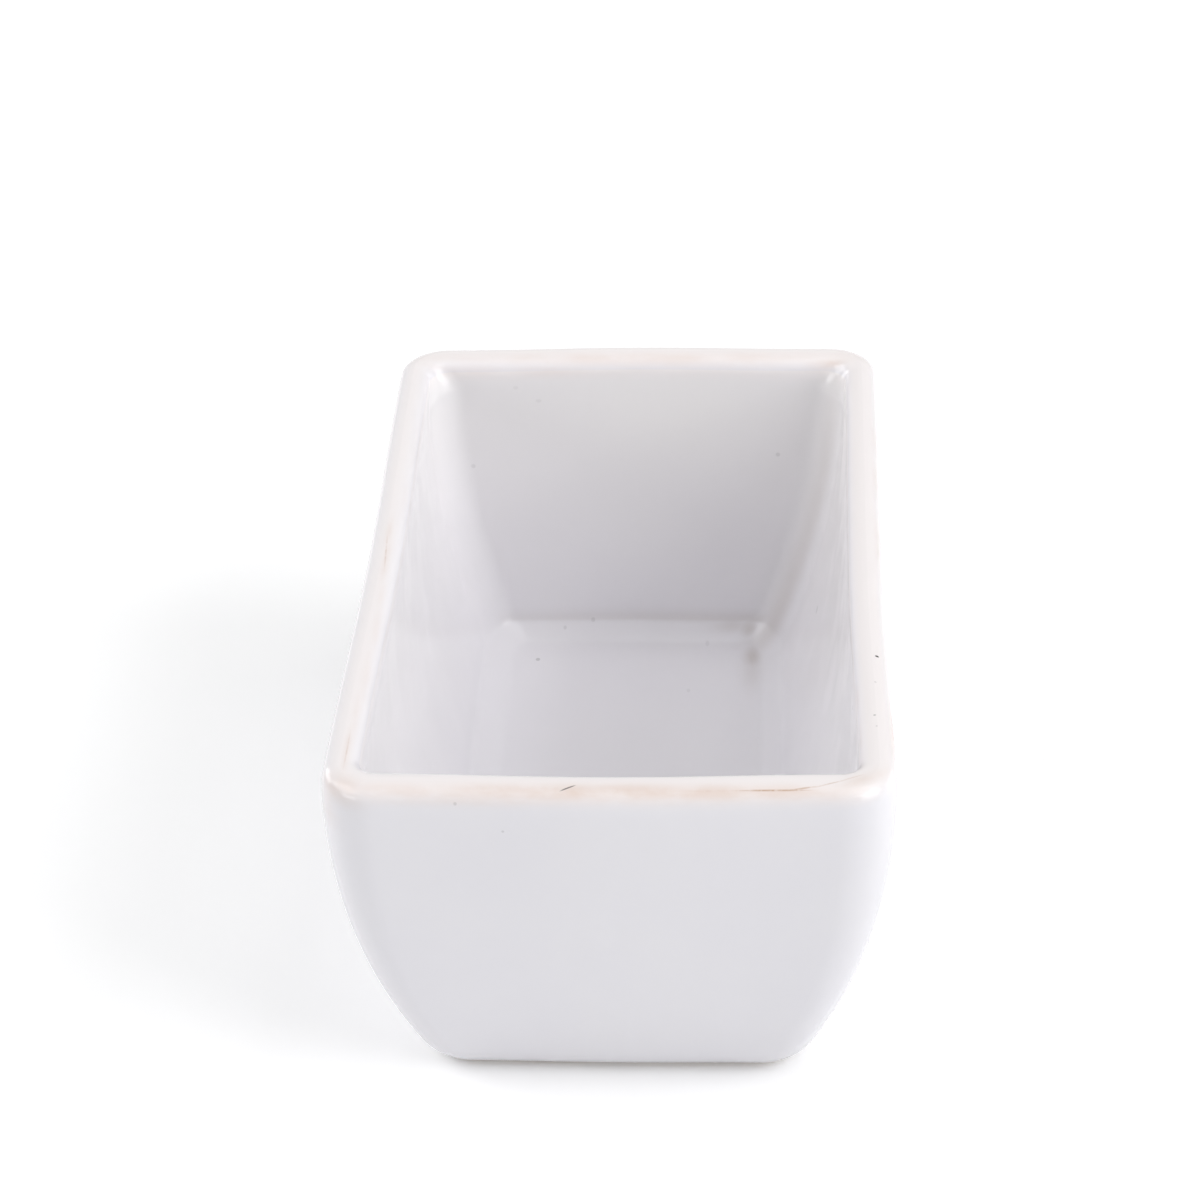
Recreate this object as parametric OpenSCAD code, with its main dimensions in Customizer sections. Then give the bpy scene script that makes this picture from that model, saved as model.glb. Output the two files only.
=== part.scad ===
// Sugar packet holder: an open rectangular dish of fired stoneware with a white glaze.
// Millimetres. X runs across the dish, Y runs along it, Z is up and Z = 0 is the table.
// The wall is a loft. Every ring is a rounded rectangle written as
// [half width, half length, corner radius, height], and each skin of glaze is
// raised from the very same rings, so clay and glaze share one surface.

/* [Overall size] */
// Length of the rim, outside, from end to end.
rim_length = 131; // [112:1:150]
// Width of the rim, outside, from side to side.
rim_width = 76; // [68:1:90]
// Height from the table to the top of the rim.
dish_height = 53; // [44:0.5:62]

/* [Lean of the walls] */
// How far each long side comes in between the rim and the table.
side_lean = 12.3; // [6:0.1:14]
// How far each end wall comes in between the rim and the table.
end_lean = 9.8; // [4:0.1:14]
// Shape of the lean: 1 is a straight slope, 2 is an even bow.
lean_power = 2.1; // [1.4:0.05:2.6]

/* [Plan shape] */
// Outside corner radius at the rim.
rim_corner = 7.7; // [6.2:0.1:10]
// Outside corner radius low on the wall.
base_corner = 5.4; // [5:0.1:8]
// Inside corner radius at the rim.
inner_rim_corner = 3.4; // [2:0.1:5]
// Inside corner radius down the wall and at the floor.
inner_wall_corner = 5.8; // [4:0.1:8]
// Height under the rim over which the inside corners widen.
widening_height = 3; // [2:0.1:6]
// How far the middle of each end wall bows out at the rim.
end_bow = 0.75; // [0:0.05:1.5]
// How far the middle of each long side sinks in at the rim.
side_sag = 0.4; // [0:0.05:1]

/* [Wall and floor] */
// Thickness of the long sides just under the rim, glaze included.
rim_wall = 5.1; // [4.7:0.1:6]
// How much thicker the end walls are than the long sides at the rim.
end_rim_extra = 1.6; // [0:0.1:2.5]
// Wall thickness just above the floor, glaze included.
base_wall = 5.5; // [4.5:0.1:7]
// Height of the inside floor above the table.
floor_level = 5.9; // [4.6:0.1:7]
// Height of the hollow between the floor and the walls.
hollow_height = 2.7; // [1.6:0.1:4]
// Width of the hollow between the floor and the walls.
hollow_width = 4.2; // [2.4:0.1:5.5]
// How early the hollow turns flat: a low share leaves a steep start.
hollow_share = 0.7; // [0.3:0.05:0.85]

/* [Rim] */
// How far in from the outside the rim is still rounded.
rim_outer_reach = 2.2; // [1.4:0.1:2.3]
// Height of the rounding on the outer edge of the rim.
rim_outer_round = 1.7; // [1:0.1:2.2]
// How far out from the inside the rim is already rounded.
rim_inner_reach = 1.7; // [1:0.1:1.8]
// Height of the rounding on the inner edge of the rim.
rim_inner_round = 1.3; // [0.8:0.1:1.8]

/* [Foot] */
// Height over which the outside wall rounds under to the foot.
heel_height = 4.1; // [2.5:0.1:6]
// How far in the outside wall rounds under to the foot.
heel_depth = 2.4; // [1.5:0.1:3.6]
// Height of the foot ring under the rounded heel.
foot_height = 0.6; // [0.4:0.1:1.4]
// Setback of the foot ring's face from the end of the heel.
foot_setback = 1.1; // [0.6:0.1:1.5]
// Width of the flat face that stands on the table.
foot_width = 3.4; // [2.4:0.1:4.5]
// Depth of the recess inside the foot ring.
recess_depth = 1.3; // [1:0.1:1.8]

/* [Glaze] */
// Thickness of the fired glaze.
glaze_thickness = 0.4; // [0.25:0.05:0.6]
// Bare clay left between the glaze under the dish and the foot ring.
dry_margin = 1.2; // [0.6:0.1:2]

/* [Fineness] */
// Facets round each corner.
corner_steps = 6; // [3:1:7]
// Facets along each end wall.
end_steps = 6; // [4:2:8]
// Facets along each long side.
side_steps = 6; // [4:2:8]
// Rings up the outside wall.
outer_rings = 10; // [6:1:12]
// Rings down the inside wall where its corners widen.
widening_rings = 2; // [1:1:4]
// Rings down the rest of the inside wall.
inner_rings = 7; // [5:1:9]
// Rings in each rounded edge.
round_rings = 4; // [3:1:5]

/* [Colours] */
// Colour of the bare fired clay.
clay_colour = [0.72, 0.56, 0.42];
// Colour of the glaze.
glaze_colour = [0.93, 0.92, 0.90];

/* [Hidden] */
// One right angle, used for every rounded edge.
quarter_turn = 90;
// Half of a measure, used where a size is split about the middle.
half_share = 1 / 2;
// Part of the glaze left at its very end, where it rolls down to the clay.
bead_end_share = 0.45;
// Part of the glaze one ring in from its end.
bead_next_share = 0.85;
// Parts of the foot height used for the rounded shoulder of the foot ring.
shoulder_high_share = 0.55;
shoulder_low_share = 0.16;
// Parts of the setback reached at those two heights.
setback_high_share = 0.72;
setback_low_share = 0.94;
// Part of a draw-in that is taken off the corner radius under the dish.
corner_loss_share = 0.35;
// Smallest corner radius under the dish.
smallest_corner = 1;
// Part of the bow and the sag that is still there at the table.
low_bow_share = 0.3;

// Half sizes and height of the clay, one glaze thickness inside the finished dish.
clay_half_width = rim_width * half_share - glaze_thickness;
clay_half_length = rim_length * half_share - glaze_thickness - end_bow;
clay_height = dish_height - glaze_thickness;
clay_rim_wall = rim_wall - 2 * glaze_thickness;
clay_base_wall = base_wall - 2 * glaze_thickness;
clay_floor = floor_level - glaze_thickness;
clay_rim_corner = rim_corner - glaze_thickness;

// Height at which the outside wall starts to round under.
heel_top = foot_height + heel_height;
// Heights at which the two rounded edges of the rim begin.
outer_edge_level = clay_height - rim_outer_round;
inner_edge_level = clay_height - rim_inner_round;
// Height at which the inside wall meets the hollow above the floor.
hollow_top = clay_floor + hollow_height;

// Distance a wall has come in at a height, for its full lean.
function come_in(lean, height) =
    lean * pow(max(0, (outer_edge_level - height) / outer_edge_level), lean_power);

// Share of the way down the wall, 0 at the rim and 1 at the table.
function way_down(height) = max(0, (outer_edge_level - height) / outer_edge_level);

// Thickness of the clay in the long sides at a height.
function clay_wall(height) =
    clay_rim_wall + (clay_base_wall - clay_rim_wall) * way_down(height);

// Thickness of the clay in the end walls at a height.
function clay_end_wall(height) =
    clay_wall(height) + end_rim_extra * (1 - way_down(height));

// Radius of the inside corners at a height.
function inner_corner(height) =
    inner_rim_corner + (inner_wall_corner - inner_rim_corner)
        * sin(quarter_turn * max(0, min(1, (inner_edge_level - height) / widening_height)));

// Outside ring of the clay at a height, drawn in by a further amount.
function outer_ring(height, further) = [
    clay_half_width - come_in(side_lean, height) - further,
    clay_half_length - come_in(end_lean, height) - further,
    clay_rim_corner + (base_corner - clay_rim_corner) * way_down(height) - further,
    height
];

// Inside ring of the clay at a height, drawn in by a further amount.
function inner_ring(height, further) = [
    clay_half_width - come_in(side_lean, height) - clay_wall(height) - further,
    clay_half_length - come_in(end_lean, height) - clay_end_wall(height) - further,
    inner_corner(height) - further * half_share,
    height
];

// The same ring at another height.
function lifted(ring, height) = [ring[0], ring[1], ring[2], height];

// The same ring drawn in by a further amount, with its corners kept round.
function drawn_in(ring, further, height) = [
    ring[0] - further,
    ring[1] - further,
    max(smallest_corner, ring[2] - further * corner_loss_share),
    height
];

// Quarter-round steps, as angles from 0 to a right angle.
function turns(first, last) = [for (i = [first : last]) quarter_turn * i / round_rings];

// Heel: the wall goes on leaning in while it rounds under to the foot.
function heel_ring(turn) = drawn_in(
    outer_ring(heel_top - heel_height * sin(turn), 0),
    heel_depth * (1 - cos(turn)),
    heel_top - heel_height * sin(turn));
heel_foot = heel_ring(quarter_turn);

// Foot ring, from the middle of the recess out to the heel.
foot_outside = drawn_in(heel_foot, foot_setback, 0);
foot_inside = drawn_in(foot_outside, foot_width, 0);
recess_edge = drawn_in(foot_inside, recess_depth * half_share, recess_depth);
recess_shoulder = drawn_in(foot_inside, recess_depth * half_share * half_share,
    recess_depth * half_share);
glaze_edge = drawn_in(recess_edge, dry_margin, recess_depth);
foot_rings = [
    glaze_edge,
    recess_edge,
    recess_shoulder,
    foot_inside,
    foot_outside,
    drawn_in(heel_foot, foot_setback * setback_low_share, foot_height * shoulder_low_share),
    drawn_in(heel_foot, foot_setback * setback_high_share, foot_height * shoulder_high_share)
];

// Heel rings in rising order. The last one is left to the wall.
heel_rings = [for (i = [0 : round_rings - 1])
    heel_ring(quarter_turn * (round_rings - i) / round_rings)];

// Outside wall in rising order.
wall_rings = [for (i = [0 : outer_rings])
    outer_ring(heel_top + (outer_edge_level - heel_top) * i / outer_rings, 0)];

// Rim: rounded outer edge, then rounded inner edge.
rim_outer_rings = [for (turn = turns(1, round_rings))
    lifted(outer_ring(outer_edge_level, rim_outer_reach * (1 - cos(turn))),
        outer_edge_level + rim_outer_round * sin(turn))];
rim_inner_rings = [for (i = [0 : round_rings - 1])
    lifted(
        inner_ring(inner_edge_level,
            -rim_inner_reach * (1 - cos(quarter_turn * (round_rings - i) / round_rings))),
        inner_edge_level
            + rim_inner_round * sin(quarter_turn * (round_rings - i) / round_rings))];

// Inside wall in falling order, then the hollow, then the edge of the flat floor.
widened_level = inner_edge_level - widening_height;
widening_wall = [for (i = [0 : widening_rings - 1])
    inner_ring(inner_edge_level - widening_height * i / widening_rings, 0)];
lower_wall = [for (i = [0 : inner_rings])
    inner_ring(widened_level + (hollow_top - widened_level) * i / inner_rings, 0)];
hollow_rings = [for (i = [1 : round_rings])
    let (run = i / round_rings)
    lifted(
        inner_ring(hollow_top,
            hollow_width * (2 * (1 - run) * run * hollow_share + run * run)),
        clay_floor + hollow_height * pow(1 - run, 2))];

// Rings that carry the main coat of glaze, from the heel over the rim to the floor.
coated_rings = concat(
    [for (i = [1 : round_rings - 1]) heel_rings[i]],
    wall_rings,
    rim_outer_rings,
    rim_inner_rings,
    widening_wall,
    lower_wall,
    hollow_rings
);

// All rings of the clay, from the middle of the underside to the middle of the floor.
clay_rings = concat(foot_rings, [heel_rings[0]], coated_rings);

// Soft swell that is full in the middle of a side and nothing at both of its ends.
// It fades towards the table.
function swell(along, height) =
    pow(cos(quarter_turn * along), 2)
        * (low_bow_share + (1 - low_bow_share) * min(1, height / dish_height));

// One corner of a ring as points, starting at a given angle.
function corner_points(ring, across, along, start) = [for (i = [0 : corner_steps]) [
    across * (ring[0] - ring[2]) + ring[2] * cos(start + quarter_turn * i / corner_steps),
    along * (ring[1] - ring[2]) + ring[2] * sin(start + quarter_turn * i / corner_steps),
    ring[3]
]];

// Points strictly between two corners along an end wall, with its bow.
function end_points(ring, along) = [for (i = [1 : end_steps - 1])
    let (share = 1 - 2 * i / end_steps) [
        along * share * (ring[0] - ring[2]),
        along * (ring[1] + end_bow * swell(share, ring[3])),
        ring[3]
    ]];

// Points strictly between two corners along a long side, with its sag.
function side_points(ring, across) = [for (i = [1 : side_steps - 1])
    let (share = 1 - 2 * i / side_steps) [
        across * (ring[0] - side_sag * swell(share, ring[3])),
        -across * share * (ring[1] - ring[2]),
        ring[3]
    ]];

// A whole ring as points, going round from the right side to the far end.
function ring_points(ring) = concat(
    corner_points(ring, 1, 1, 0),
    end_points(ring, 1),
    corner_points(ring, -1, 1, quarter_turn),
    side_points(ring, -1),
    corner_points(ring, -1, -1, 2 * quarter_turn),
    end_points(ring, -1),
    corner_points(ring, 1, -1, 3 * quarter_turn),
    side_points(ring, 1)
);

// Number of points in every ring.
ring_size = 4 * (corner_steps + 1) + 2 * (end_steps - 1) + 2 * (side_steps - 1);

// Number of the point that follows another one round a ring.
function next_point(i) = (i + 1) % ring_size;

// Band of facets between a ring and the ring after it.
function band_faces(ring, after) = [for (i = [0 : ring_size - 1]) each [
    [ring * ring_size + i, after * ring_size + i, after * ring_size + next_point(i)],
    [ring * ring_size + i, after * ring_size + next_point(i), ring * ring_size + next_point(i)]
]];

// Closed solid through rings that start and end on flat, filled rings.
module capped_loft(rings) {
    last = len(rings) - 1;
    polyhedron(
        points = [for (ring = rings) each ring_points(ring)],
        faces = concat(
            [[for (i = [0 : ring_size - 1]) i]],
            [for (k = [0 : last - 1]) each band_faces(k, k + 1)],
            [[for (i = [0 : ring_size - 1]) last * ring_size + ring_size - 1 - i]]
        ),
        convexity = 6
    );
}

// Direction that points out of the surface at one ring, as [sideways, up].
function outward(rings, k) =
    let (
        before = rings[max(0, k - 1)],
        after = rings[min(len(rings) - 1, k + 1)],
        sideways = after[1] - before[1] + after[0] - before[0],
        rise = 2 * (after[3] - before[3]),
        reach = norm([sideways, rise])
    )
    [rise / reach, -sideways / reach];

// Ring raised off the clay by a thickness of glaze.
function raised(rings, k, thickness) =
    let (push = thickness * outward(rings, k))
    [rings[k][0] + push[0], rings[k][1] + push[0], rings[k][2] + push[0], rings[k][3] + push[1]];

// Thickness of the main coat at one ring. It rolls down to the clay at its lower end.
function coat_thickness(k) =
    k == 0 ? glaze_thickness * bead_end_share :
    k == 1 ? glaze_thickness * bead_next_share :
    glaze_thickness;

// Fired clay: one solid with heel, dry foot ring, wall, rim, hollow and floor.
module stoneware_body() {
    color(clay_colour)
        capped_loft(clay_rings);
}

// Main coat: glaze over the outside, the rim, the inside wall and the floor.
module glaze_coat() {
    last = len(coated_rings) - 1;
    outer_skin = [for (k = [0 : last]) raised(coated_rings, k, coat_thickness(k))];
    flat_floor = lifted(outer_skin[last], coated_rings[last][3] + glaze_thickness);
    skin = [for (k = [0 : last]) k == last ? flat_floor : outer_skin[k]];
    backing = [for (k = [0 : last]) coated_rings[last - k]];
    color(glaze_colour)
        capped_loft(concat(backing, skin));
}

// Glaze in the recess under the dish, inside the dry foot ring.
module underside_glaze() {
    rolled_edge = drawn_in(glaze_edge, 0, recess_depth - glaze_thickness * bead_end_share);
    lower_face = drawn_in(glaze_edge, glaze_thickness * half_share, recess_depth - glaze_thickness);
    color(glaze_colour)
        capped_loft([lower_face, rolled_edge, glaze_edge]);
}

stoneware_body();
glaze_coat();
underside_glaze();
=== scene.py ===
# A sugar packet holder of white-glazed stoneware, put together in the order of the workshop:
# the clay dish, its coat of glaze, the patch of glaze under it, then the table, the light and the camera.
import math
import bpy
import numpy as np
from mathutils import Matrix, Vector


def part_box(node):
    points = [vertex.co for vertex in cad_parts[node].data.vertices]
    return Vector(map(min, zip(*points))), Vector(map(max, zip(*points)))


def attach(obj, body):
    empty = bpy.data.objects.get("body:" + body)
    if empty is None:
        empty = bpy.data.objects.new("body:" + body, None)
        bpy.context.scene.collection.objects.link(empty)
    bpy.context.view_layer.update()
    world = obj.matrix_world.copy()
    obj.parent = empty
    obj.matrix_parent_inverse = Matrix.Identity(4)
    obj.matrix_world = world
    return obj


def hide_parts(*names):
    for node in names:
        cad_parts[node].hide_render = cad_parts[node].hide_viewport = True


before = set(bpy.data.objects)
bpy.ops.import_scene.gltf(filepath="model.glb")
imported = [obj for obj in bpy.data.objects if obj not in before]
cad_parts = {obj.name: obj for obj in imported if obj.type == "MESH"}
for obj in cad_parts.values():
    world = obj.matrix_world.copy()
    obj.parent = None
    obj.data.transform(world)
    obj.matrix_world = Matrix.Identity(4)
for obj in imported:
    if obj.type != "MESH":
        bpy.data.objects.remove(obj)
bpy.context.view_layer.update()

# THE CLAY DISH
# One piece of pressed stoneware: floor, four bowed walls, a thick soft rim and a heel that rounds
# under to a foot ring. The ring is wiped clean before firing, so it stays bare and matt.

clay_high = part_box("stoneware_body")[1]
coat_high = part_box("glaze_coat")[1]
patch_low, patch_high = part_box("underside_glaze")

# Sizes that the frame gives.
glaze_thickness = coat_high.x - clay_high.x
clay_height = clay_high.z
dish_height = coat_high.z
recess_depth = patch_high.z

# How the walls lean and bow.
side_lean = 0.0123
end_lean = 0.0098
lean_power = 2.1
end_bow = 0.00075
side_sag = 0.0004
low_bow_share = 0.3

# Corner radii, outside and inside, at the rim and low down. Under the rim the inside corners are oval,
# longer along the dish than across it, and fuller than an ellipse, so that they start softly.
rim_corner = 0.0077 - glaze_thickness
base_corner = 0.0054
inner_rim_corner = 0.0034
inner_wall_corner = 0.0058
widening_height = 0.003
corner_across_share = 1.01
corner_along_share = 1.60
corner_fullness = 0.10
smallest_corner = 0.001
corner_loss_share = 0.35

# Thickness of the wall and the floor.
rim_wall = 0.0051 - 2 * glaze_thickness
base_wall = 0.0055 - 2 * glaze_thickness
end_rim_extra = 0.0016
clay_floor = 0.0059 - glaze_thickness
hollow_height = 0.0027
hollow_width = 0.0042
hollow_share = 0.7

# How far the pressed hollow sits to the left of the middle at the floor, and how much wider it is there.
hollow_shift = 0.00105
left_hollow_extra = 0.0012

# The rim, the heel and the foot ring.
rim_outer_reach = 0.0022
rim_outer_round = 0.0017
rim_inner_reach = 0.0017
rim_inner_round = 0.0013
heel_height = 0.0041
heel_depth = 0.0024
foot_height = 0.0006
foot_setback = 0.0011
foot_width = 0.0034

outer_edge_level = clay_height - rim_outer_round
inner_edge_level = clay_height - rim_inner_round
heel_top = foot_height + heel_height
hollow_top = clay_floor + hollow_height
bow_at_rim = end_bow * (low_bow_share + (1 - low_bow_share) * outer_edge_level / dish_height)
half_width = clay_high.x
half_length = clay_high.y - bow_at_rim


def way_down(level):
    """Share of the way down the wall, 0 at the rim and 1 at the table."""
    return max(0.0, (outer_edge_level - level) / outer_edge_level)


def inner_corner(level):
    """Radius of the inside corners: tight at the rim, wide from a little under it."""
    share = min(1.0, max(0.0, (inner_edge_level - level) / widening_height))
    return inner_rim_corner + (inner_wall_corner - inner_rim_corner) * math.sin(math.pi / 2 * share)


def outer_ring(level, further=0.0):
    """Outside of the clay at a level: half width, half length, corner radius, level."""
    lean = way_down(level) ** lean_power
    corner = rim_corner + (base_corner - rim_corner) * way_down(level)
    return np.array([half_width - side_lean * lean - further,
                     half_length - end_lean * lean - further,
                     corner - further,
                     level])


def inner_ring(level, further=0.0):
    """Inside of the clay at a level."""
    lean = way_down(level) ** lean_power
    wall = rim_wall + (base_wall - rim_wall) * way_down(level)
    end_wall = wall + end_rim_extra * (1 - way_down(level))
    return np.array([half_width - side_lean * lean - wall - further,
                     half_length - end_lean * lean - end_wall - further,
                     inner_corner(level) - further / 2,
                     level])


def drawn_in(ring, further, level):
    """The same ring, smaller, at another level."""
    corner = max(smallest_corner, ring[2] - further * corner_loss_share)
    return np.array([ring[0] - further, ring[1] - further, corner, level])


def at_level(ring, level):
    return np.array([ring[0], ring[1], ring[2], level])


def heel_ring(turn):
    level = heel_top - heel_height * math.sin(turn)
    return drawn_in(outer_ring(level), heel_depth * (1 - math.cos(turn)), level)


def turns(steps):
    """Angles of a quarter round, without its start."""
    return [math.pi / 2 * i / steps for i in range(1, steps + 1)]


heel_steps = 12
wall_steps = 44
rim_steps = 14
crown_steps = 8
widening_steps = 12
lower_steps = 54
inside_steps = widening_steps + lower_steps
hollow_steps = 16

heel_foot = heel_ring(math.pi / 2)
foot_outside = drawn_in(heel_foot, foot_setback, 0.0)
foot_inside = drawn_in(foot_outside, foot_width, 0.0)
recess_edge = drawn_in(foot_inside, recess_depth / 2, recess_depth)

# The wiped foot: rounded shoulders on both sides of the face that stands on the table.
foot_shoulder = 0.0005
shoulder_steps = 5
shoulder_share = 0.6
inner_shoulder_power = 1.5
outer_shoulder_power = 1.3
outer_shoulder_share = 0.8
shoulder_reach = foot_shoulder * shoulder_share
setback_reach = foot_setback * shoulder_share
foot_rings = [recess_edge]
for turn in turns(shoulder_steps):
    inward = 1 - math.sin(turn)
    foot_rings.append(drawn_in(foot_inside, foot_shoulder * inward * shoulder_share,
                               foot_shoulder * inward ** inner_shoulder_power))
foot_rings.append(drawn_in(foot_outside, shoulder_reach, 0.0))
for turn in turns(shoulder_steps):
    outward = 1 - math.cos(turn)
    foot_rings.append(drawn_in(foot_outside, shoulder_reach - (shoulder_reach + setback_reach) * outward,
                               foot_height * outer_shoulder_share * outward ** outer_shoulder_power))

heel_rings = [heel_ring(turn) for turn in reversed([0.0] + turns(heel_steps))]
wall_rings = [outer_ring(heel_top + (outer_edge_level - heel_top) * i / wall_steps)
              for i in range(1, wall_steps + 1)]
rim_rings = [at_level(outer_ring(outer_edge_level, rim_outer_reach * (1 - math.cos(turn))),
                      outer_edge_level + rim_outer_round * math.sin(turn))
             for turn in turns(rim_steps)]
lip_rings = [at_level(inner_ring(inner_edge_level, -rim_inner_reach * (1 - math.cos(turn))),
                      inner_edge_level + rim_inner_round * math.sin(turn))
             for turn in reversed(turns(rim_steps))]
for i in range(1, crown_steps):
    across = i / crown_steps
    rim_rings.append(rim_rings[rim_steps - 1] * (1 - across) + lip_rings[0] * across)
widened_level = inner_edge_level - widening_height
inside_rings = [inner_ring(inner_edge_level - widening_height * i / widening_steps)
                for i in range(widening_steps)]
inside_rings += [inner_ring(widened_level + (hollow_top - widened_level) * i / lower_steps)
                 for i in range(lower_steps + 1)]
hollow_rings = []
for i in range(1, hollow_steps + 1):
    run = i / hollow_steps
    further = hollow_width * (2 * (1 - run) * run * hollow_share + run * run)
    hollow_rings.append(at_level(inner_ring(hollow_top, further),
                                 clay_floor + hollow_height * (1 - run) ** 2))

# Floor: rings that close in on the middle.
floor_steps = 14
floor_edge = hollow_rings[-1]
floor_rings = [drawn_in(floor_edge, (floor_edge[0] - smallest_corner * 2) * i / floor_steps, clay_floor)
               for i in range(1, floor_steps + 1)]

clay_rings = np.array(foot_rings + heel_rings + wall_rings + rim_rings + lip_rings
                      + inside_rings + hollow_rings + floor_rings)

# Points round a ring: finer in the corners.
corner_points = 20
end_points = 44
side_points = 90


def swell(along):
    """Full in the middle of a side and nothing at both of its ends."""
    return np.cos(math.pi / 2 * along) ** 2


def round_the_ring(ring, oval):
    """All the points of a ring, from the right side round by the far end; oval is 1 inside the dish."""
    a, b, r, level = ring
    across = r * (1 + (corner_across_share - 1) * oval)
    along = r * (1 + (corner_along_share - 1) * oval)
    fade = low_bow_share + (1 - low_bow_share) * min(1.0, level / dish_height)
    bend = np.linspace(0, math.pi / 2, corner_points)
    power = 1 - corner_fullness * oval
    sideways = across * np.clip(np.cos(bend), 0, 1) ** power
    arc = np.stack([sideways, along * np.sin(bend) ** power], 1)
    run = np.linspace(1, -1, end_points + 1)[1:-1]
    end = np.stack([run * (a - across), b + end_bow * fade * swell(run)], 1)
    run = np.linspace(1, -1, side_points + 1)[1:-1]
    side = np.stack([-a + side_sag * fade * swell(run), run * (b - along)], 1)
    half = np.concatenate([arc + [a - across, b - along],
                           end,
                           np.stack([-arc[::-1, 0], arc[::-1, 1]], 1) + [across - a, b - along],
                           side])
    both = np.concatenate([half, -half])
    return np.column_stack([both, np.full(len(both), level)])


# Where each long side sags inwards at the rim: depth, place along the dish, half length.
right_sag = (0.0003, -0.022, 0.026)
left_sag = (0.0002, -0.004, 0.028)
rim_drop_on_left = 0.00035
top_clearance = 0.000001


def settle(points):
    """The small unevenness of a hand-finished, fired dish: soft sides and a rim low on the left."""
    x, y, z = points[..., 0] / half_width, points[..., 1], points[..., 2]
    lift = z / dish_height

    def sag(measures, side):
        depth, middle, long_half = measures
        return depth * np.clip(side * x, 0, 1) * np.exp(-((y - middle) / long_half) ** 2)

    moved = points.copy()
    moved[..., 0] -= lift * (sag(right_sag, 1) - sag(left_sag, -1))
    drop = lift * rim_drop_on_left * (0.5 - 0.5 * x)
    moved[..., 2] = np.maximum(z - top_clearance - drop, 0.0)
    return moved


def closed_skin(name, rings, hollow_side=0.0, marks=None):
    """A closed mesh through rings. The hollow side has oval corners and sits to the left low down."""
    oval = hollow_side * np.clip((inner_edge_level - rings[:, 3]) / widening_height, 0, 1)
    points = settle(np.array([round_the_ring(ring, share) for ring, share in zip(rings, oval)]))
    if np.any(hollow_side):
        points[..., 0] -= (hollow_shift * hollow_side * (1 - rings[:, 3] / clay_height))[:, None]
        in_hollow = hollow_side * np.clip((hollow_top - rings[:, 3]) / hollow_height, 0, 1)
        leftward = np.clip(-points[..., 0] / floor_edge[0], 0, 1)
        points[..., 0] += left_hollow_extra * in_hollow[:, None] * leftward
    count, size = points.shape[:2]
    here = np.arange(size)
    after = np.roll(here, -1)
    faces = [tuple(here[::-1])]
    for k in range(count - 1):
        low, high = k * size, (k + 1) * size
        faces.extend(zip(low + here, low + after, high + after, high + here))
    faces.append(tuple((count - 1) * size + here))
    mesh = bpy.data.meshes.new(name)
    mesh.from_pydata(points.reshape(-1, 3).tolist(), [], [[int(v) for v in face] for face in faces])
    mesh.polygons.foreach_set("use_smooth", [True] * len(mesh.polygons))
    for mark, values in (marks(points) if marks else {}).items():
        layer = mesh.attributes.new(mark, "FLOAT", "POINT")
        layer.data.foreach_set("value", values.reshape(-1).astype(np.float32))
    mesh.update()
    piece = bpy.data.objects.new(name, mesh)
    bpy.context.scene.collection.objects.link(piece)
    return piece


def new_material(name):
    material = bpy.data.materials.new(name)
    material.use_nodes = True
    nodes, links = material.node_tree.nodes, material.node_tree.links
    return material, nodes, links, nodes["Principled BSDF"]


def noise(nodes, links, place, scale, detail=2.0, roughness=0.5):
    """A cloud of noise; scale is in clouds to the metre."""
    cloud = nodes.new("ShaderNodeTexNoise")
    cloud.inputs["Scale"].default_value = scale
    cloud.inputs["Detail"].default_value = detail
    cloud.inputs["Roughness"].default_value = roughness
    links.new(place, cloud.inputs["Vector"])
    return cloud.outputs["Fac"]


def spread(nodes, links, value, low, high, to_low=0.0, to_high=1.0):
    """Stretches a value between two limits, softly."""
    ramp = nodes.new("ShaderNodeMapRange")
    ramp.interpolation_type = "SMOOTHSTEP"
    ramp.inputs["From Min"].default_value = low
    ramp.inputs["From Max"].default_value = high
    ramp.inputs["To Min"].default_value = to_low
    ramp.inputs["To Max"].default_value = to_high
    links.new(value, ramp.inputs["Value"])
    return ramp.outputs["Result"]


def blend_colour(nodes, links, share, first, second):
    """Mixes two colours, each a value or a socket."""
    mix = nodes.new("ShaderNodeMix")
    mix.data_type = "RGBA"
    links.new(share, mix.inputs["Factor"])
    for socket, colour in ((mix.inputs[6], first), (mix.inputs[7], second)):
        if isinstance(colour, tuple):
            socket.default_value = (*colour, 1.0)
        else:
            links.new(colour, socket)
    return mix.outputs[2]


def combine(nodes, links, work, first, second):
    """Arithmetic on two values, each a number or a socket."""
    sum_node = nodes.new("ShaderNodeMath")
    sum_node.operation = work
    sum_node.use_clamp = True
    for socket, value in ((sum_node.inputs[0], first), (sum_node.inputs[1], second)):
        if isinstance(value, (int, float)):
            socket.default_value = value
        else:
            links.new(value, socket)
    return sum_node.outputs[0]


dark_clay = (0.62, 0.46, 0.33)
light_clay = (0.72, 0.58, 0.45)
clay_grain = (0.42, 0.28, 0.19)
clay_roughness = 0.85


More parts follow.
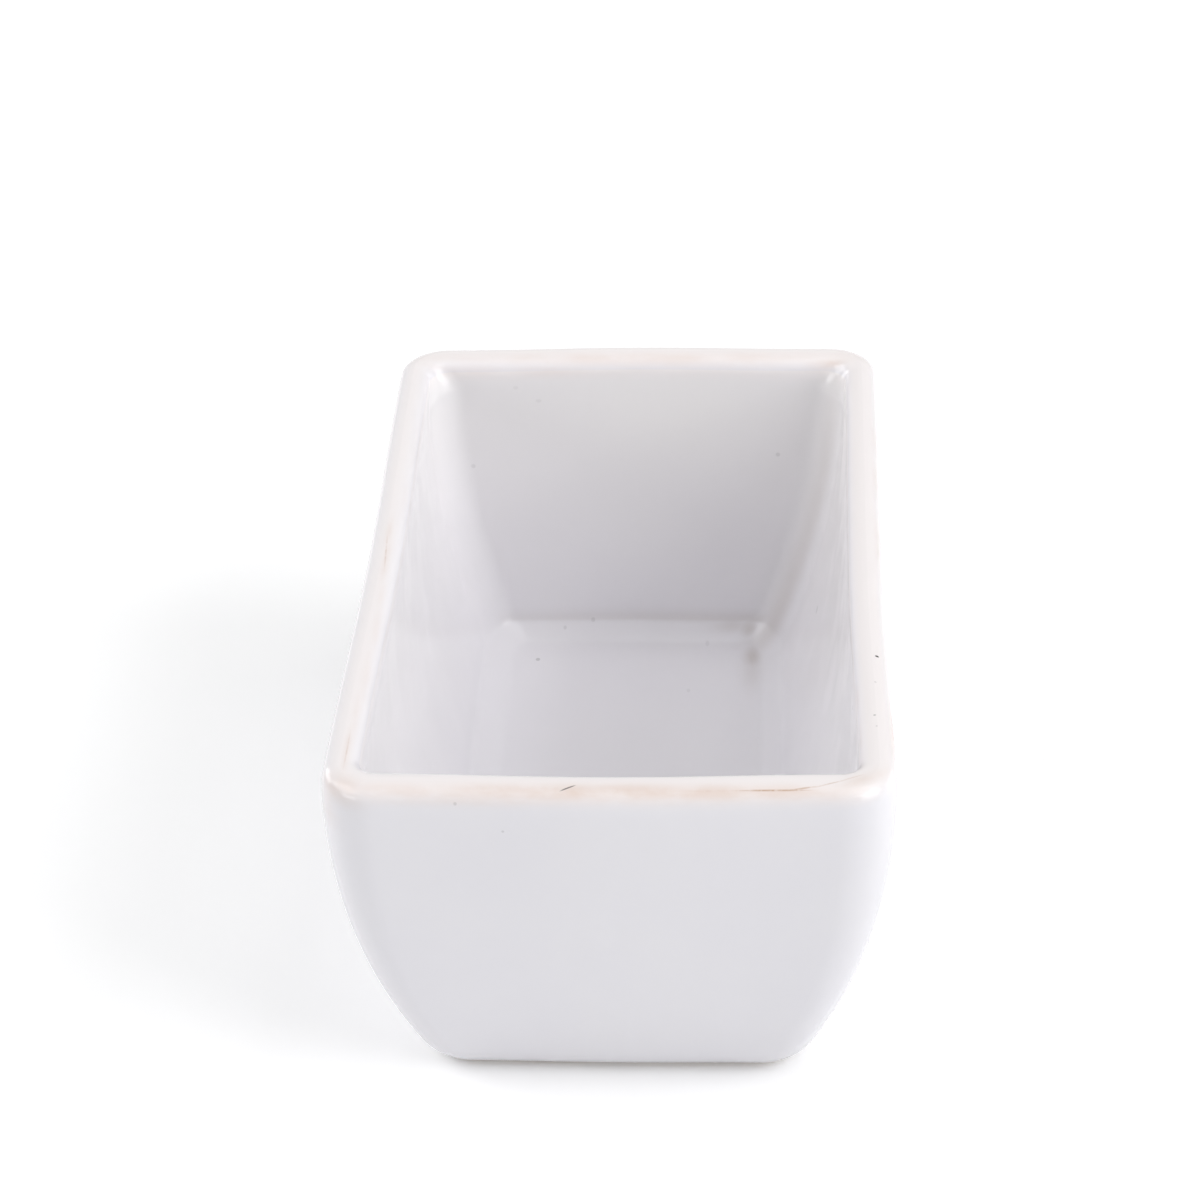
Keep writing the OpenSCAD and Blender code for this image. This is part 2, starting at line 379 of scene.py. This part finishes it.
def bare_clay():
    """Dry fired stoneware: warm, grainy and matt."""
    material, nodes, links, surface = new_material("bare_clay")
    place = nodes.new("ShaderNodeTexCoord").outputs["Object"]
    patches = noise(nodes, links, place, 120.0, 4.0)
    grains = noise(nodes, links, place, 2600.0, 2.0)
    colour = blend_colour(nodes, links, spread(nodes, links, patches, 0.35, 0.7),
                          dark_clay, light_clay)
    colour = blend_colour(nodes, links, spread(nodes, links, grains, 0.62, 0.75, 0.0, 0.6),
                          colour, clay_grain)
    links.new(colour, surface.inputs["Base Color"])
    surface.inputs["Roughness"].default_value = clay_roughness
    bump = nodes.new("ShaderNodeBump")
    bump.inputs["Strength"].default_value = 0.5
    bump.inputs["Distance"].default_value = 0.0001
    links.new(grains, bump.inputs["Height"])
    links.new(bump.outputs["Normal"], surface.inputs["Normal"])
    return material


outside_count = len(foot_rings + heel_rings + wall_rings + rim_rings + lip_rings)
hollow_side = np.zeros(len(clay_rings))
hollow_side[outside_count:] = 1.0
dish = closed_skin("clay_dish", clay_rings, hollow_side)
dish.data.materials.append(bare_clay())
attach(dish, "root")
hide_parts("stoneware_body")

# THE COAT OF GLAZE
# A white glaze, dipped and fused on in the kiln. It covers the outside, the rim and the whole inside.
# It draws thin on both edges of the rim, where the clay warms it, and ends in a rolled bead at the heel.

bead_end_share = 0.45
bead_rings = 3
coated = np.array(heel_rings[heel_steps // 4:] + wall_rings + rim_rings + lip_rings
                  + inside_rings + hollow_rings + floor_rings)
count_outside = heel_steps + 1 - heel_steps // 4 + wall_steps
count_rim = count_outside + rim_steps + crown_steps - 1
count_lip = count_rim + rim_steps
count_inside = count_lip + inside_steps + 1
count_hollow = count_inside + hollow_steps


def raised(rings, thickness):
    """Rings lifted off the clay by a thickness of glaze, square to the clay."""
    ahead = np.vstack([rings[1:], rings[-1:]])
    behind = np.vstack([rings[:1], rings[:-1]])
    step = ahead - behind
    sideways = step[:, 0] + step[:, 1]
    rise = 2 * step[:, 3]
    reach = np.hypot(sideways, rise)
    push = thickness * rise / reach
    lift = -thickness * sideways / reach
    return rings + np.stack([push, push, push, lift], 1)


def softened(rings, first, last, passes):
    """Glaze runs into sharp lines and rounds them."""
    smooth = rings.copy()
    for _ in range(passes):
        middle = (smooth[first - 1:last - 1] + 2 * smooth[first:last] + smooth[first + 1:last + 1]) / 4
        smooth[first:last] = middle
    return smooth


thickness = np.full(len(coated), glaze_thickness)
for k in range(bead_rings):
    thickness[k] *= bead_end_share + (1 - bead_end_share) * math.sin(math.pi / 2 * k / bead_rings)
outer_skin = raised(coated, thickness)
outer_skin[count_hollow - 1:, 3] = clay_floor + glaze_thickness

# Runs of rings that the glaze rounds off, and how often: over the rim, over its inner edge,
# at the foot of the inside wall, and where the hollow meets the floor.
glaze_runs = [
    (count_outside - 3, count_lip, 16),
    (count_rim - 6, count_lip + 12, 42),
    (count_inside - 4, count_inside + 4, 2),
    (count_hollow - 6, count_hollow + 1, 8),
]
for run_start, run_end, passes in glaze_runs:
    outer_skin = softened(outer_skin, run_start, run_end, passes)
backing = coated[::-1]
coat_rings = np.vstack([backing, outer_skin])
hollow_side = np.zeros(len(coated))
hollow_side[count_lip:] = 1.0
hollow_side = np.concatenate([hollow_side[::-1], hollow_side])

# Washes of thin glaze over the rim, one of them also painted shade on the back rim: x, y, z, half length,
# half width, half height, turn, strength.
along_side = math.pi / 2
rim_washes_and_shade = [
    # Front rim, from end to end, then its stronger places.
    (0.000, -0.0638, 0.0528, 0.0420, 0.0015, 0.0013, 0.00, 0.92),
    (0.004, -0.0633, 0.0529, 0.0070, 0.0009, 0.0012, 0.00, 0.60),
    (0.012, -0.0635, 0.0528, 0.0080, 0.0010, 0.0012, 0.00, 0.69),
    (0.024, -0.0636, 0.0527, 0.0080, 0.0011, 0.0014, 0.00, 0.75),
    (-0.020, -0.0648, 0.0520, 0.0190, 0.0008, 0.0010, 0.00, 0.45),
    (0.033, -0.0610, 0.0528, 0.0040, 0.0012, 0.0014, 0.60, 0.62),
    (-0.035, -0.0620, 0.0522, 0.0040, 0.0018, 0.0020, -0.70, 0.69),
    (-0.037, -0.0610, 0.0490, 0.0030, 0.0020, 0.0030, 0.00, 0.38),
    # Left rim, along its inner third.
    (-0.0346, 0.0040, 0.0530, 0.0040, 0.0005, 0.0015, along_side, 0.34),
    (-0.0343, -0.0050, 0.0530, 0.0060, 0.0005, 0.0015, along_side, 0.42),
    (-0.0340, -0.0140, 0.0529, 0.0040, 0.0005, 0.0015, along_side, 0.21),
    (-0.0338, -0.0240, 0.0528, 0.0070, 0.0006, 0.0015, along_side, 0.25),
    (-0.0340, -0.0360, 0.0529, 0.0090, 0.0007, 0.0015, along_side, 0.25),
    (-0.0344, -0.0450, 0.0529, 0.0070, 0.0006, 0.0015, along_side, 0.25),
    (-0.0347, -0.0540, 0.0530, 0.0060, 0.0005, 0.0015, along_side, 0.40),
    (-0.0333, 0.0150, 0.0526, 0.0050, 0.0004, 0.0015, along_side, 0.21),
    (-0.0332, 0.0330, 0.0525, 0.0120, 0.0004, 0.0015, along_side, 0.15),
    (-0.0377, 0.0200, 0.0518, 0.0500, 0.0005, 0.0012, along_side, 0.10),
    # Right rim, on its outer edge and then on its inner edge.
    (0.0371, 0.0330, 0.0523, 0.0050, 0.0005, 0.0012, along_side, 0.23),
    (0.0370, 0.0200, 0.0523, 0.0050, 0.0005, 0.0012, along_side, 0.38),
    (0.0368, 0.0010, 0.0524, 0.0080, 0.0005, 0.0012, along_side, 0.33),
    (0.0372, -0.0300, 0.0523, 0.0080, 0.0005, 0.0012, along_side, 0.15),
    (0.0374, -0.0480, 0.0521, 0.0080, 0.0004, 0.0012, along_side, 0.45),
    (0.0330, -0.0400, 0.0516, 0.0030, 0.0004, 0.0006, along_side, 0.30),
    (0.0331, -0.0500, 0.0519, 0.0060, 0.0004, 0.0006, along_side, 0.30),
    (0.0331, -0.0555, 0.0520, 0.0030, 0.0004, 0.0008, along_side, 0.40),
    # Back rim, on its inner edge; the broad wash along the whole back rim also darkens it as painted shade.
    (0.0300, 0.0588, 0.0525, 0.0030, 0.0008, 0.0012, 0.00, 0.76),
    (-0.0268, 0.0582, 0.0518, 0.0080, 0.0008, 0.0012, 0.00, 0.42),
    (-0.0150, 0.0584, 0.0514, 0.0100, 0.0008, 0.0012, 0.00, 0.28),
    (0.0000, 0.0600, 0.0526, 0.0360, 0.0016, 0.0012, 0.00, 0.42),
]

# Darker spots in the far right of the hollow, pooled glaze and painted shade where the far wall meets it:
# x, y, half width, half length, strength.
pools_and_shade_in_hollow = [
    (0.0184, 0.0450, 0.0013, 0.0034, 0.46),
    (0.0183, 0.0410, 0.0015, 0.0060, 0.20),
    (0.0178, 0.0512, 0.0013, 0.0012, 0.36),
    (0.0150, 0.0516, 0.0030, 0.0009, 0.24),
]


# Levels and how far each tint has come in there: warm at the rim, where it is also painted brighter as by
# light from above, and paler up the inside walls, which is painted light.
outside_warm = ([0.0506, 0.0520, 0.0527], [0.0, 0.45, 1.0])
inside_warm = ([0.0490, 0.0512, 0.0522], [0.1, 0.7, 1.0])
# Paler up the inside walls, more so towards the rim: painted light.
inside_painted_light = ([0.0090, 0.0200, 0.0300, 0.0450], [0.0, 0.25, 0.45, 0.75])

# A painted highlight, a paler patch high on the far wall: x, level, half width, half height, strength.
painted_highlight_patch = (0.004, 0.045, 0.013, 0.010, 0.35)

# Glaze that ran down the far right inside corner, darkened there as painted shade: its half width and
# strength.
corner_run_and_shade_width = 0.0025
corner_run_and_shade_strength = 0.32

# The line of pooled glaze along the foot of the end walls, darker there as painted shade in the crease. It
# is narrow on the hollow's side of the line and stronger to the right.
pool_reach_up = 0.0014
pool_reach_down = 0.0003
pool_reach_right = 0.0004
pool_and_shade_strength = 0.11
pool_and_shade_strength_right = 0.17
pool_right_half = 0.025
pool_end = 0.050
pool_end_fade = 0.002


def glaze_marks(points):
    """Where the glaze runs warm at the rim, painted brighter there as by light from above, and paler up the
    inside walls as painted light with a painted highlight on the far wall; and where it is thin or pooled,
    with painted shade in the far right corner, along the foot of the end walls and on the back rim.
    """
    lip = len(backing) + count_lip
    foot = len(backing) + count_inside - 1
    floor = len(backing) + count_hollow
    ring = np.arange(len(points))[:, None]
    x, y, z = points[..., 0], points[..., 1], points[..., 2]
    # Warm at the rim from thin glaze; there the white is also brighter, painted light from above.
    warm = np.where(ring >= lip, np.interp(z, *inside_warm), np.interp(z, *outside_warm))
    # Paler up the inside walls towards the rim, and a paler patch on the far wall: painted light and a
    # painted highlight.
    middle, level, wide_half, high_half, strength = painted_highlight_patch
    gap = ((x - middle) / wide_half) ** 2 + ((z - level) / high_half) ** 2
    pale = np.interp(z, *inside_painted_light) + np.where(y > half_length / 2, strength * np.exp(-gap), 0.0)
    pale = np.where(ring >= lip, pale, 0.0)
    thin = np.zeros(points.shape[:2])
    for *place, long_half, wide_half, high_half, turn, strength in rim_washes_and_shade:
        dx, dy, dz = x - place[0], y - place[1], z - place[2]
        along = dx * math.cos(turn) + dy * math.sin(turn)
        across = dy * math.cos(turn) - dx * math.sin(turn)
        gap = (along / long_half) ** 2 + (across / wide_half) ** 2 + (dz / high_half) ** 2
        thin = np.maximum(thin, strength * np.exp(-gap))

    # Pools and painted shade: down the far right inside corner, along the foot of the end walls, and in the
    # hollow.
    down_wall = np.interp(ring, [lip, foot, floor], [0, 1, 0])
    far_right = corner_points // 2
    gap = np.linalg.norm(points - points[:, far_right:far_right + 1], axis=2) / corner_run_and_shade_width
    pooled = corner_run_and_shade_strength * down_wall ** 0.5 * np.exp(-gap ** 2)
    rightward = 0.5 + 0.5 * x[foot] / pool_right_half
    endward = np.clip((np.abs(y[foot]) - pool_end) / pool_end_fade, 0, 1)
    reach = np.where(ring < foot, pool_reach_up, pool_reach_down + pool_reach_right * rightward ** 3)
    gap = np.linalg.norm(points - points[foot], axis=2) / reach
    depth = (pool_and_shade_strength + pool_and_shade_strength_right * rightward) * endward
    pooled = np.maximum(pooled, depth * np.exp(-gap ** 2))
    low = z < hollow_top + glaze_thickness
    for middle_x, middle_y, wide_half, long_half, strength in pools_and_shade_in_hollow:
        gap = ((x - middle_x) / wide_half) ** 2 + ((y - middle_y) / long_half) ** 2
        pooled = np.maximum(pooled, strength * np.exp(-gap) * low)
    pooled[:len(backing)] = 0
    return {"warm_glaze_and_rim_light": warm, "painted_wall_light": pale, "thin_glaze_and_rim_shade": thin, "pooled_glaze_and_shade": pooled}


# Bare lines on the edge of the front rim: the same measures as a wash.
bare_lines = [
    (0.0215, -0.0633, 0.0529, 0.0045, 0.00014, 0.0012, 0.02, 0.75),
    (0.0256, -0.0629, 0.0529, 0.0020, 0.00014, 0.0012, 0.19, 0.60),
    (0.0290, -0.0620, 0.0530, 0.0020, 0.00012, 0.0012, 0.38, 0.40),
    (0.0318, -0.0606, 0.0530, 0.0018, 0.00012, 0.0012, 0.48, 0.25),
    (0.0130, -0.0635, 0.0529, 0.0040, 0.00020, 0.0012, 0.02, 0.10),
    (-0.0345, -0.0020, 0.0530, 0.0045, 0.00014, 0.0012, along_side + 0.05, 0.30),
    (-0.0347, -0.0540, 0.0530, 0.0040, 0.00012, 0.0012, along_side, 0.25),
    (0.0375, -0.0490, 0.0521, 0.0050, 0.00012, 0.0012, along_side + 0.03, 0.30),
]

# Iron specks burnt into the glaze: the same measures again.
iron_specks = [
    (0.0358, -0.0305, 0.0529, 0.00026, 0.00021, 0.0010, -0.3, 0.97),
    (0.0354, -0.0373, 0.0530, 0.00017, 0.00014, 0.0010, 0.0, 0.22),
    (0.0351, -0.0456, 0.0530, 0.00018, 0.00014, 0.0010, 0.0, 0.45),
    (0.0353, -0.0483, 0.0530, 0.00014, 0.00014, 0.0010, 0.0, 0.22),
    (-0.0050, -0.0631, 0.0529, 0.00105, 0.00012, 0.0010, 0.51, 0.75),
    (-0.0196, -0.0649, 0.0512, 0.00022, 0.0010, 0.00022, 0.0, 0.18),
    (-0.0135, -0.0651, 0.0472, 0.00018, 0.0010, 0.00018, 0.0, 0.18),
    (-0.0165, 0.0440, 0.0059, 0.00034, 0.00045, 0.0010, 0.0, 0.28),
    (-0.0124, 0.0513, 0.0076, 0.00028, 0.00034, 0.00040, 0.0, 0.14),
    (-0.0078, 0.0524, 0.0084, 0.00032, 0.00034, 0.00040, 0.0, 0.14),
    (-0.0269, 0.0575, 0.0343, 0.00034, 0.0010, 0.00034, 0.0, 0.11),
    (0.0224, 0.0577, 0.0364, 0.00034, 0.0010, 0.00034, 0.0, 0.14),
    (-0.0160, 0.0584, 0.0458, 0.00045, 0.0010, 0.00030, 0.0, 0.07),
    (-0.0196, 0.0583, 0.0482, 0.00040, 0.0010, 0.00030, 0.0, 0.06),
    (0.0285, 0.0315, 0.0230, 0.0010, 0.00075, 0.00060, 0.0, 0.16),
    (0.0326, -0.0347, 0.0471, 0.0010, 0.00035, 0.00030, 0.0, 0.28),
    (0.0110, 0.0489, 0.0060, 0.00030, 0.00060, 0.0010, 0.0, 0.08),
    (0.0082, 0.0347, 0.0059, 0.00028, 0.00050, 0.0010, 0.0, 0.08),
]


# Colours of the glaze: its two whites, a paler white painted up the inside walls as light, a warm white on
# the rim that is brighter as painted light, over the clay, and in pools, which also paint shade.
white_one = (0.820, 0.809, 0.850)
white_two = (0.832, 0.821, 0.856)
lit_wall_white = (0.895, 0.883, 0.879)
# The rim's warm white is brighter than the glaze: thin glaze tint and painted light from above.
warm_lit_rim_white = (0.890, 0.845, 0.842)
clay_through_glaze = (0.73, 0.595, 0.525)
# Brown of pooled glaze, also painted as shade in the far right corner and along the foot of the end walls.
pool_and_shade_brown = (0.45, 0.38, 0.33)
bare_line_brown = (0.46, 0.26, 0.14)
iron_black = (0.03, 0.026, 0.024)


def white_glaze():
    """Glossy off-white glaze, tinted by the clay where it is thin, with a few iron specks."""
    material, nodes, links, surface = new_material("white_glaze")
    place = nodes.new("ShaderNodeTexCoord").outputs["Object"]
    clouds = noise(nodes, links, place, 55.0, 3.0)
    colour = blend_colour(nodes, links, spread(nodes, links, clouds, 0.3, 0.7),
                          white_one, white_two)
    # Paler up the inside walls and in a patch on the far wall: painted light and a painted highlight.
    pale = nodes.new("ShaderNodeAttribute")
    pale.attribute_name = "painted_wall_light"
    colour = blend_colour(nodes, links, pale.outputs["Fac"], colour, lit_wall_white)
    # Warm at the rim from thin glaze, and brighter there as painted light from above.
    warm = nodes.new("ShaderNodeAttribute")
    warm.attribute_name = "warm_glaze_and_rim_light"
    colour = blend_colour(nodes, links, warm.outputs["Fac"], colour, warm_lit_rim_white)

    # Clay showing through thin glaze, broken up by a fine cloud; on the back rim it is also painted shade.
    thin = nodes.new("ShaderNodeAttribute")
    thin.attribute_name = "thin_glaze_and_rim_shade"
    drawn = nodes.new("ShaderNodeMapping")
    drawn.inputs["Scale"].default_value = (0.35, 0.35, 1.3)
    links.new(place, drawn.inputs["Vector"])
    streaks = noise(nodes, links, drawn.outputs["Vector"], 420.0, 4.0, 0.55)
    wash = combine(nodes, links, "MULTIPLY", thin.outputs["Fac"],
                   spread(nodes, links, streaks, 0.30, 0.70, 0.45, 1.0))
    colour = blend_colour(nodes, links, wash, colour, clay_through_glaze)
    # Pooled glaze, darker and browner, also painted as shade in the far right corner and along the foot of
    # the end walls.
    pooled = nodes.new("ShaderNodeAttribute")
    pooled.attribute_name = "pooled_glaze_and_shade"
    colour = blend_colour(nodes, links, pooled.outputs["Fac"], colour, pool_and_shade_brown)

    def local_spot(x, y, z, long_half, wide_half, high_half, turn):
        """Distance from a place, measured in its own half sizes."""
        local = nodes.new("ShaderNodeMapping")
        local.vector_type = "TEXTURE"
        local.inputs["Location"].default_value = (x, y, z)
        local.inputs["Rotation"].default_value = (0.0, 0.0, turn)
        local.inputs["Scale"].default_value = (long_half, wide_half, high_half)
        links.new(place, local.inputs["Vector"])
        gap = nodes.new("ShaderNodeVectorMath")
        gap.operation = "LENGTH"
        links.new(local.outputs["Vector"], gap.inputs[0])
        return gap.outputs["Value"]

    ragged = spread(nodes, links, noise(nodes, links, place, 900.0, 4.0, 0.6), 0.36, 0.56, 0.35, 1.0)
    for *spot, depth in bare_lines:
        line = spread(nodes, links, local_spot(*spot), 0.2, 1.5, depth, 0.0)
        line = combine(nodes, links, "MULTIPLY", line, ragged)
        colour = blend_colour(nodes, links, line, colour, bare_line_brown)
    for *spot, depth in iron_specks:
        dot = spread(nodes, links, local_spot(*spot), 0.7, 1.35, depth, 0.0)
        colour = blend_colour(nodes, links, dot, colour, iron_black)
    links.new(colour, surface.inputs["Base Color"])

    shine = spread(nodes, links, noise(nodes, links, place, 90.0, 3.0), 0.3, 0.7, 0.11, 0.18)
    links.new(shine, surface.inputs["Roughness"])
    surface.inputs["IOR"].default_value = 1.5

    # The faint ripple of a dipped glaze, and its fine orange peel.
    ripple = nodes.new("ShaderNodeBump")
    ripple.inputs["Strength"].default_value = 0.15
    ripple.inputs["Distance"].default_value = 0.0002
    links.new(noise(nodes, links, place, 50.0, 1.0), ripple.inputs["Height"])
    peel = nodes.new("ShaderNodeBump")
    peel.inputs["Strength"].default_value = 0.15
    peel.inputs["Distance"].default_value = 0.00002
    links.new(noise(nodes, links, place, 600.0, 2.0), peel.inputs["Height"])
    links.new(ripple.outputs["Normal"], peel.inputs["Normal"])
    links.new(peel.outputs["Normal"], surface.inputs["Normal"])
    return material


coat = closed_skin("glaze_coating", coat_rings, hollow_side, glaze_marks)
glaze = white_glaze()
coat.data.materials.append(glaze)
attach(coat, "root")
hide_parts("glaze_coat")

# THE GLAZE UNDER THE DISH
# The same glaze, brushed into the recess before the foot ring was wiped. It lies inside the bare ring
# and ends in a soft rolled edge.

patch_corner = smallest_corner * 2
roll_height_share = 0.9
roll_steps = 6
patch_edge = np.array([patch_high.x + side_sag * low_bow_share,
                       patch_high.y - end_bow * low_bow_share,
                       patch_corner,
                       recess_depth])
patch_rings = []
for i in range(floor_steps, 0, -1):
    closing = (patch_edge[0] - patch_corner) * i / (floor_steps + 1)
    patch_rings.append(drawn_in(patch_edge, glaze_thickness + closing, patch_low.z))
for turn in [0.0] + turns(roll_steps):
    rise = glaze_thickness * (1 - math.cos(turn)) * roll_height_share
    patch_rings.append(drawn_in(patch_edge, glaze_thickness * (1 - math.sin(turn)), patch_low.z + rise))
patch_rings.append(at_level(patch_edge, recess_depth))
patch = closed_skin("recess_glaze", np.array(patch_rings))
patch.data.materials.append(glaze)
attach(patch, "root")
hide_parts("underside_glaze")

# THE TABLE AND THE BACKDROP
# A wide sheet of matt white paper that lies flat under the dish and keeps its soft shadow.
# Where the camera, or a shiny or clear surface, sees it past the shadow, it is plain white.

table_half = 6.0
table_colour = (0.85, 0.85, 0.85, 1.0)
table_colour_seen = (0.97, 0.97, 0.97, 1.0)
table_glow_seen = 0.14
table_mesh = bpy.data.meshes.new("table")
table_mesh.from_pydata([(-table_half, -table_half, 0), (table_half, -table_half, 0),
                        (table_half, table_half, 0), (-table_half, table_half, 0)], [], [(0, 1, 2, 3)])
table = bpy.data.objects.new("table", table_mesh)
bpy.context.scene.collection.objects.link(table)

table_paint, nodes, links, surface = new_material("white_sweep")
surface.inputs["Base Color"].default_value = table_colour
surface.inputs["Roughness"].default_value = 0.9
surface.inputs["Specular IOR Level"].default_value = 0.0


def rays_that_see(nodes, links):
    """1 for what the camera sees, by itself or by way of a shiny or clear surface."""
    paths = nodes.new("ShaderNodeLightPath")
    shiny = paths.outputs["Is Glossy Ray"]
    clear = paths.outputs["Is Transmission Ray"]
    mirrored = combine(nodes, links, "ADD", shiny, clear)
    return combine(nodes, links, "ADD", paths.outputs["Is Camera Ray"], mirrored)


bright = nodes.new("ShaderNodeBsdfDiffuse")
bright.inputs["Color"].default_value = table_colour_seen
glow = nodes.new("ShaderNodeEmission")
glow.inputs["Strength"].default_value = table_glow_seen
both = nodes.new("ShaderNodeAddShader")
pick = nodes.new("ShaderNodeMixShader")
links.new(bright.outputs["BSDF"], both.inputs[0])
links.new(glow.outputs["Emission"], both.inputs[1])
links.new(rays_that_see(nodes, links), pick.inputs["Fac"])
links.new(surface.outputs["BSDF"], pick.inputs[1])
links.new(both.outputs["Shader"], pick.inputs[2])
links.new(pick.outputs["Shader"], nodes["Material Output"].inputs["Surface"])
table_mesh.materials.append(table_paint)

# THE LIGHT
# A plain white room with large soft boxes on both sides and overhead, each behind a white cloth.
# They are kept at a level at which the white glaze keeps its own colour on every side.

room_colour = (0.98, 0.99, 1.0, 1.0)
room_level = 0.19
lamp_aim = Vector((0, 0, 0.03))
room = bpy.data.worlds.new("white_room")
room.use_nodes = True
bpy.context.scene.world = room
air, wires = room.node_tree.nodes, room.node_tree.links
plain = air["Background"]
plain.inputs["Color"].default_value = room_colour
plain.inputs["Strength"].default_value = room_level
white = air.new("ShaderNodeBackground")
white.inputs["Strength"].default_value = 1.0
choice = air.new("ShaderNodeMixShader")
wires.new(rays_that_see(air, wires), choice.inputs["Fac"])
wires.new(plain.outputs["Background"], choice.inputs[1])
wires.new(white.outputs["Background"], choice.inputs[2])
wires.new(choice.outputs["Shader"], air["World Output"].inputs["Surface"])


def soft_box(name, place, size, power):
    """A lamp behind a white cloth, turned towards the dish."""
    lamp = bpy.data.lights.new(name, "AREA")
    lamp.shape = "RECTANGLE"
    lamp.size, lamp.size_y = size
    lamp.energy = power
    holder = bpy.data.objects.new(name, lamp)
    holder.location = place
    holder.rotation_euler = (lamp_aim - Vector(place)).to_track_quat("-Z", "Y").to_euler()
    bpy.context.scene.collection.objects.link(holder)


soft_box("right_box", (2.19, -0.89, 1.69), (2.0, 1.7), 38.0)
soft_box("right_front_box", (2.45, -1.41, 0.63), (1.9, 1.0), 15.3)
soft_box("right_back_box", (2.45, 1.41, 0.63), (1.9, 1.0), 8.0)
soft_box("top_box", (1.44, 0.00, 2.53), (2.0, 2.0), 18.0)
soft_box("overhead_box", (0.20, 0.30, 2.90), (2.2, 2.2), 6.5)
soft_box("left_box", (-2.04, 0.00, 2.07), (2.4, 1.9), 33.2)
soft_box("left_front_box", (-2.29, -1.60, 0.78), (1.5, 1.0), 15.0)
soft_box("left_back_box", (-2.29, 1.60, 0.78), (1.5, 1.0), 14.0)

# THE CAMERA
# It stands at the near end and looks down the length of the dish from about thirty degrees up,
# through a long lens, and leans a little to the side.

camera_height = math.radians(30.80)
camera_swing = math.radians(3.174)
camera_lean = math.radians(1.438)
camera_distance = 0.5124
camera_aim = Vector((-0.00370, 0.0, 0.04344))
lens_share = 3500 / 1200
back = Vector((math.sin(camera_swing) * math.cos(camera_height),
               -math.cos(camera_swing) * math.cos(camera_height),
               math.sin(camera_height)))
camera_data = bpy.data.cameras.new("camera")
camera_data.lens = camera_data.sensor_width * lens_share
camera_data.clip_start = 0.01
camera = bpy.data.objects.new("camera", camera_data)
camera.matrix_world = (Matrix.Translation(camera_aim + back * camera_distance)
                       @ back.to_track_quat("Z", "Y").to_matrix().to_4x4()
                       @ Matrix.Rotation(-camera_lean, 4, "Z"))
bpy.context.scene.collection.objects.link(camera)
bpy.context.scene.camera = camera

bpy.context.scene.view_settings.view_transform = "Standard"
